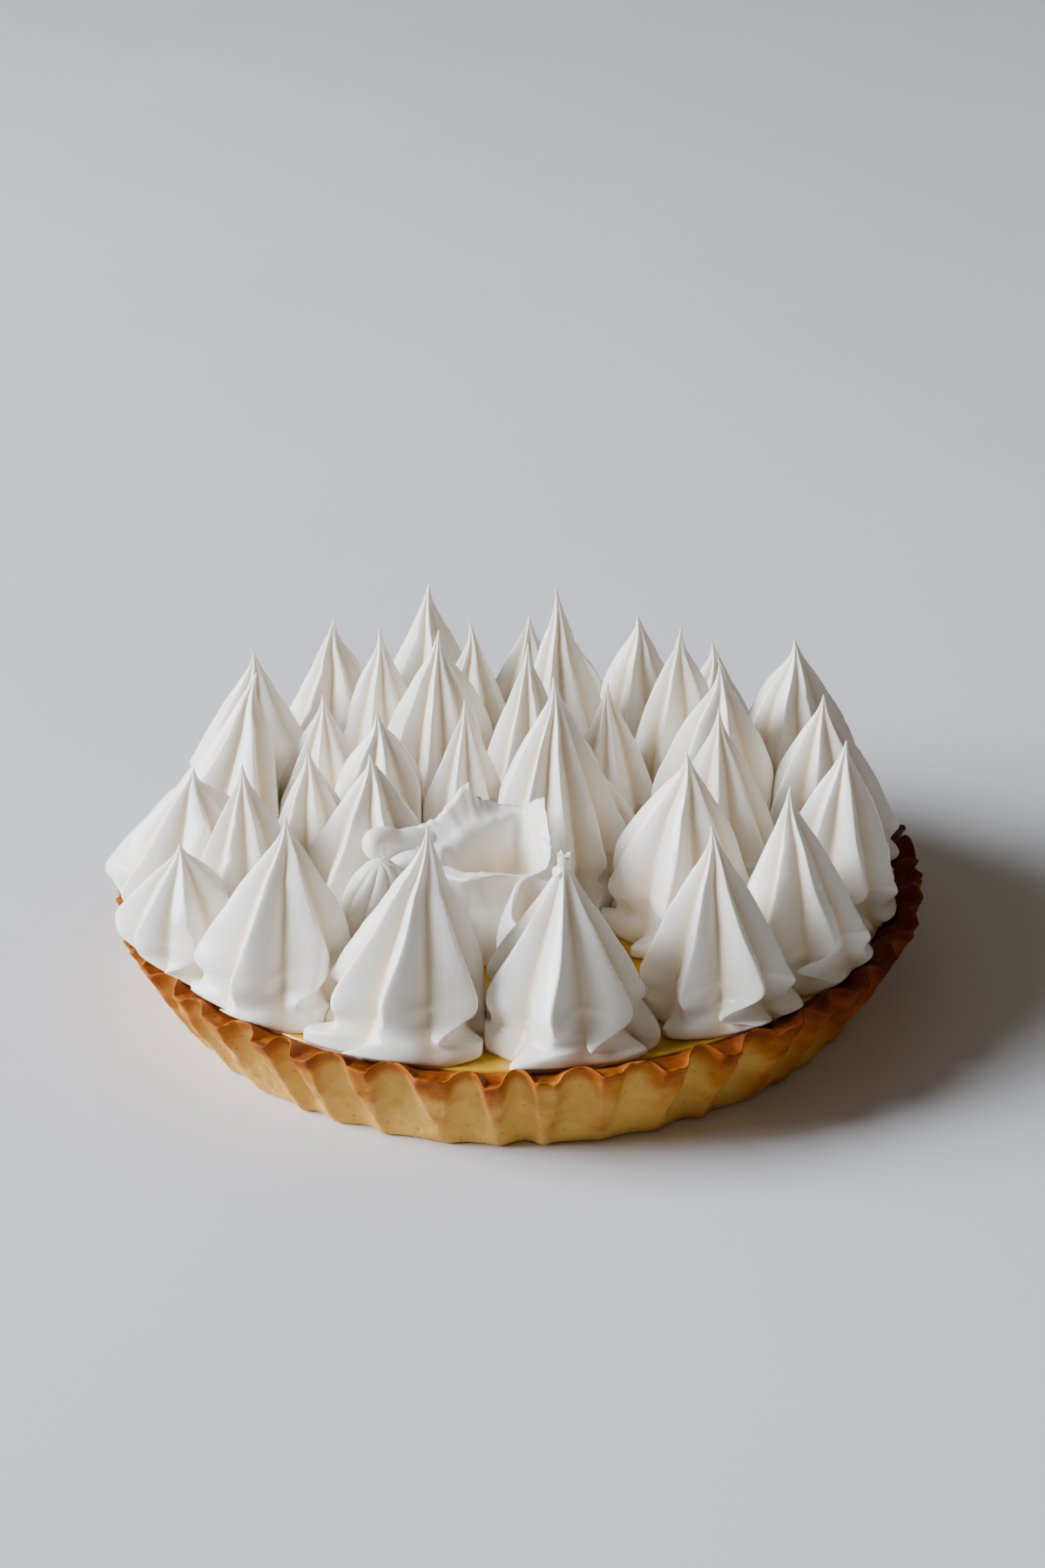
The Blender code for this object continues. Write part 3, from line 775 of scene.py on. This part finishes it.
def torn_wall(edge, up, foot, radius, base):
    """Outside of the crushed kiss.  It goes from the reach of a squat kiss with blunt ridges to the torn
    edge, tucked in below the edge."""
    turn = np.unwrap(np.arctan2(*(edge[:, :2] - foot).T[::-1]))
    fin = np.abs(np.cos(0.5 * RIDGES * turn + 0.4 * np.sin(6.0 * up))) ** 0.7
    belly = radius * (0.86 + 0.10 * arch(up, 0.7) + 0.12 * fin)
    around = compass(turn)
    climb = ease(up, 0.1, 1.0)[..., None]
    wall = (foot + around * belly[..., None]) * (1.0 - climb) + edge[:, :2] * climb
    wall = wall - around * (1.6 * MM * arch(up - 0.55, 0.45))[..., None]
    return at_level(wall, base + (edge[:, 2] - base) * up ** 1.15)


def torn_inside(edge, inner, middle, across, down):
    """From the torn edge straight over the wing to its inner edge, arched where the wing is narrow and
    sagging where it is wide, and down into the bowl, whose depth grows as 1 - (1 - d)^2.2.  Softened
    at last, so that the corners of the edges leave no creases."""
    wing = edge + (inner - edge) * across[..., None]
    width = np.linalg.norm(inner - edge, axis=-1)
    wing[..., 2] += (0.5 * MM - 0.16 * width) * arch(across, 1.0)
    hollow = inner + (middle - inner) * (down[..., None] ** 1.2 * 0.97)
    hollow[..., 2] = inner[:, 2] - (inner[:, 2] - middle[2]) * (1.0 - (1.0 - down) ** 2.2)
    return soften(np.concatenate([edge[None], wing, hollow]), 2, 500)


def make_torn_kiss(sites, rim_inside, finish):
    """The crushed kiss: its foot and wall are those of a squat kiss, and climb to the torn edge.  From
    there the skin runs over the wing to its inner edge, and down a hollow shaped like a bowl.  The edge
    is ragged, and its notches die out a few millimetres away on both sides."""
    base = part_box("crushed_kiss")[0].z - SINK
    edges = rows_between(TORN_EDGE * MM, 24, closed=True)
    edge = edges[:, :3] + (0.0, 0.0, base)
    inner = edges[:, 3:] + (0.0, 0.0, base)
    middle = np.array(TORN_MIDDLE) * MM + (0.0, 0.0, base)
    foot, radius = sites["crushed_kiss"]
    up = np.linspace(0.0, 1.0, 26)[:, None]
    across = np.linspace(0.0, 1.0, 9)[1:, None]
    down = np.linspace(0.0, 1.0, 22)[1:, None]
    outside = torn_wall(edge, up, foot, radius, base)
    inside = torn_inside(edge, inner, middle, across, down)

    along_edge = edge * (1.0, 1.0, 0.0)
    ragged = 0.7 * lumps(along_edge, 2.6 * MM, 31) + 0.5 * lumps(along_edge, 1.1 * MM, 32)
    ragged = ragged * MM * (0.25 + 0.75 * ease(edge[:, 2] - base, 28.0 * MM, 34.0 * MM))
    outside[..., 2] += ragged * up ** 8
    inside[..., 2] += ragged * np.linspace(1.0, 0.0, len(inside))[:, None] ** 24
    rings = np.concatenate([outside[:-1], inside])

    # Only the lower part is pressed by the neighbours.
    axis = np.broadcast_to(foot, rings[..., :2].shape)
    pressed = press_together(rings, axis, foot, cell_planes(foot, radius, sites.values()), rim_inside)
    free = ease(rings[..., 2:] - base, 16.0 * MM, 24.0 * MM)
    rings = pressed + (rings - pressed) * free
    lifts = 0.55 * lumps(rings, 5.0 * MM, 33) + 0.25 * lumps(rings, 2.0 * MM, 34)
    rings[..., 2] += lifts * MM * ease(rings[..., 2] - base, 0.0, 8.0 * MM)
    sides = np.stack([lumps(rings, 4.0 * MM, 35), lumps(rings, 4.0 * MM, 36)], axis=-1)
    rings[..., :2] += 0.5 * MM * sides
    piece = rings_to_piece("torn_kiss", rings, (*foot, base), tuple(middle), finish)
    # Painted light and shade: the wall is painted darker towards the curd, the wing is lit, and the
    # bowl's hollow gets painted shade.
    bowl = ease(down, 0.0, 0.35)
    lit_share = np.concatenate([0.5 + 0.5 * up, np.ones_like(across), 1.0 - 0.9 * bowl])
    lit_share = np.repeat(lit_share, len(edge), axis=1)
    keep_values(piece, "thinness", np.append(lit_share.ravel(), [0.5, 0.1]))
    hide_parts("crushed_kiss")


def make_smear(name, finish):
    """A rounded finger: circles across a curved line, their radius closing to nothing at both ends."""
    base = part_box("crushed_kiss")[0].z
    path = rows_between(SMEARS[name] * MM, 10)
    line = path[:, :3] + (0.0, 0.0, base)
    along = np.gradient(line, axis=0)
    along /= np.linalg.norm(along, axis=1)[:, None]
    # Leaning the level direction forwards keeps it from vanishing where the finger stands upright.
    across = np.cross((0.0, 0.0, 1.0), along) + (0.0, -0.3, 0.0)
    across -= along * np.einsum("ij,ij->i", across, along)[:, None]
    across /= np.linalg.norm(across, axis=1)[:, None]
    above = np.cross(along, across)
    t = np.linspace(0.0, 1.0, len(line))
    cap = np.sqrt(np.clip(1.0 - (1.0 - np.clip(t / 0.22, 0.0, 1.0)) ** 2, 0.0, 1.0))
    cap = cap * np.sqrt(np.clip(1.0 - np.clip((t - 0.9) / 0.1, 0.0, 1.0) ** 2, 0.0, 1.0))
    radius = (path[:, 3] * cap + 0.02 * MM)[:, None, None]
    angle = np.linspace(0.0, TURN, 64, endpoint=False)[None, :, None]
    rings = line[:, None] + radius * (np.cos(angle) * across[:, None] + np.sin(angle) * above[:, None])
    rings += 0.35 * MM * lumps(rings, 5.0 * MM, 41)[..., None] * cap[:, None, None]
    piece = rings_to_piece(name + "_finger", rings, line[0], line[-1], finish)
    # Painted light: the fingers are painted a little creamier than a lit crest.
    keep_values(piece, "thinness", np.full(len(piece.data.vertices), 0.8))
    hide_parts(name)


def make_low_swirl(sites, rim_inside, finish):
    """Ribbed dome: rounded ribs that lean round it as they rise and meet a little behind and to the
    right of its middle.  The reach is that of a half oval on an upright side, and the ribs, |cos| of
    the turn, add to it."""
    low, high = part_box("low_swirl")
    foot, radius = sites["low_swirl"]
    base = low.z - SINK
    height = high.z - base + DOME_RISE
    turn = np.linspace(0.0, TURN, 24 * DOME_RIBS, endpoint=False)[None, :]
    t = np.linspace(0.0, 1.0, 64)[:, None]
    ribs = np.abs(np.cos(0.5 * DOME_RIBS * (turn - 0.6 * t ** 2))) ** 0.8
    shape = np.sqrt(np.clip(1.0 - np.clip((t - 0.25) / 0.75, 0.0, 1.0) ** 2.2, 0.0, 1.0))
    shape = shape * (0.90 + 0.12 * arch(t, 0.5))
    reach = radius * (shape * (0.88 + 0.17 * ribs * ease(t, 0.0, 0.15)) + 0.004)
    lean = np.array([2.0, 1.5]) * MM
    axis = foot + lean * (t ** 2)[..., None] + 0.0 * turn[..., None]
    rings = at_level(axis + compass(turn) * reach[..., None], base + height * t + 0.0 * turn)
    rings = press_together(rings, axis, foot, cell_planes(foot, radius, sites.values()), rim_inside)
    rings += 0.3 * MM * lumps(rings, 5.0 * MM, 51)[..., None] * ease(t, 0.0, 0.2)[..., None]
    top = rings[-1].mean(axis=0)
    piece = rings_to_piece("ribbed_low_swirl", rings, (*foot, base), top, finish)
    # Painted light on the ribs, and painted shade between them.
    keep_values(piece, "thinness", np.append((0.2 + 0.8 * ribs).ravel(), [0.5, 0.8]))
    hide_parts("low_swirl")


def make_hollow_swirl(sites, rim_inside, finish):
    """Open swirl with a lip that is high at its back, and a hollow crossed by faint turns of piping.
    The wall's reach is arched and narrows upwards, and the hollow sinks by an ease."""
    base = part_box("hollow_swirl")[0].z - SINK
    foot, radius = sites["hollow_swirl"]
    turn = np.linspace(0.0, TURN, 224, endpoint=False)[None, :]
    lip = OPEN_LIP + (5.0 * np.sin(turn) + 1.2 * np.sin(3.0 * turn + 1.0)) * MM
    up = np.linspace(0.0, 1.0, 30)[:, None]
    ribs = np.abs(np.cos(0.5 * OPEN_RIBS * (turn - 0.6 * up))) ** 0.7
    wall = radius * (0.90 + 0.10 * (1.0 + ribs) * arch(up, 1.0) - 0.16 * up ** 2)
    into = np.linspace(0.0, 1.0, 34)[1:, None]
    turns = 0.5 * MM * np.sin(3.0 * TURN * into - turn)
    turns = turns * ease(into, 0.1, 0.3) * ease(1.0 - into, 0.0, 0.3)
    over_lip = 0.8 * MM * np.sin(0.5 * np.pi * np.clip(into / 0.12, 0.0, 1.0))
    sinks = 8.5 * MM * ease(into, 0.08, 0.75) + (lip - OPEN_LIP) * ease(into, 0.2, 1.0)
    reach = np.concatenate([wall, wall[-1] * (1.0 - into) + 0.01 * radius])
    level = np.concatenate([lip * up, lip + over_lip - sinks + turns])
    rings = at_level(foot + compass(turn) * reach[..., None], base + level)
    axis = np.broadcast_to(foot, rings[..., :2].shape)
    rings = press_together(rings, axis, foot, cell_planes(foot, radius, sites.values()), rim_inside)
    rings[1:] += 0.35 * MM * lumps(rings[1:], 4.0 * MM, 61)[..., None]
    top = rings[-1].mean(axis=0)
    piece = rings_to_piece("open_swirl", rings, (*foot, base), top, finish)
    # Painted light and shade: the wall is painted darker towards the curd, and the hollow inside the lip
    # gets painted shade.
    lit_share = np.concatenate([0.3 + 0.7 * up, 1.0 - ease(into, 0.1, 0.5)]) + 0.0 * turn
    keep_values(piece, "thinness", np.append(lit_share.ravel(), [0.5, 0.0]))
    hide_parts("hollow_swirl")


# ---- room ----

def make_floor():
    """Pale matt paper under and behind the tart."""
    made, tree, shader, coords = new_material("matt_paper")
    place = (coords, "Object")
    shade = add_node(tree, "ShaderNodeTexNoise", {
        "Vector": place, "Scale": spots(167.0 * MM), "Detail": 4.0})
    tone = ramp(tree, (shade, "Fac"), [(0.3, "D6D6D8"), (0.7, "DCDCDD")])
    tree.links.new(tone.outputs["Color"], shader.inputs["Base Color"])
    set_shader(shader, Roughness=0.9)
    mesh = bpy.data.meshes.new("floor")
    half = 6.0
    corners = [(-half, -half, 0), (half, -half, 0), (half, half, 0), (-half, half, 0)]
    mesh.from_pydata(corners, [], [(0, 1, 2, 3)])
    mesh.materials.append(made)
    floor = bpy.data.objects.new("floor", mesh)
    bpy.context.scene.collection.objects.link(floor)


def soft_light(name, place, target, size, power, colour):
    """Square area light that faces the target."""
    lamp = bpy.data.lights.new(name, "AREA")
    lamp.shape = "SQUARE"
    lamp.size = size
    lamp.energy = power
    lamp.color = linear(colour)[:3]
    obj = bpy.data.objects.new(name, lamp)
    obj.location = place
    obj.rotation_euler = (Vector(target) - Vector(place)).to_track_quat("-Z", "Y").to_euler()
    bpy.context.scene.collection.objects.link(obj)


def make_light():
    """A broad window's cool light from the left, and a dim warm room."""
    soft_light("window", place=(-3.1, -0.3, 1.6), target=(0.0, 0.0, 0.05), size=1.9,
               power=420.0, colour="E8EDF8")
    world = bpy.data.worlds.new("room_light")
    world.use_nodes = True
    background = world.node_tree.nodes["Background"]
    background.inputs["Color"].default_value = linear("FFF1DB")
    background.inputs["Strength"].default_value = 0.145
    bpy.context.scene.world = world


def make_camera():
    """Camera in front of the tart, looking down on it by the pitch, with a slight roll."""
    pitch = math.radians(25.85)
    roll = math.radians(-1.25)
    distance = 0.822
    target = Vector((0.0014, 0.0, 0.0594))
    forward = Vector((0.0, math.cos(pitch), -math.sin(pitch)))
    right = Vector((1.0, 0.0, 0.0))
    up = right.cross(forward)
    rolled_right = math.cos(roll) * right + math.sin(roll) * up
    rolled_up = math.cos(roll) * up - math.sin(roll) * right
    turn = Matrix((rolled_right, rolled_up, -forward)).transposed().to_4x4()
    camera = bpy.data.objects.new("camera", bpy.data.cameras.new("camera"))
    camera.data.lens = 64.0
    camera.data.sensor_width = 36.0
    camera.matrix_world = Matrix.Translation(target - distance * forward) @ turn
    bpy.context.scene.collection.objects.link(camera)
    bpy.context.scene.camera = camera


def main():
    make_camera()
    make_floor()
    make_light()
    make_crust(baked_shortcrust())
    make_curd(set_lemon_curd())
    finish = whipped_meringue()
    kisses = {name: read_kiss(name) for name in sorted(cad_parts) if name.startswith("kiss_")}
    # A site is the middle of a piece's foot, and the foot's radius.
    sites = {name: (kiss["foot"], kiss["radius"]) for name, kiss in kisses.items()}
    for name in ("crushed_kiss", "low_swirl", "hollow_swirl"):
        low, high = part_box(name)
        sites[name] = (np.array((low.xy + high.xy) / 2), (high.x - low.x + high.y - low.y) / 4)
    rim_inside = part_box("lemon_curd")[1].x - 0.3 * MM
    for name, kiss in kisses.items():
        make_kiss(name, kiss, sites.values(), rim_inside, finish)
    make_torn_kiss(sites, rim_inside, finish)
    make_low_swirl(sites, rim_inside, finish)
    make_hollow_swirl(sites, rim_inside, finish)
    for name in SMEARS:
        make_smear(name, finish)


main()
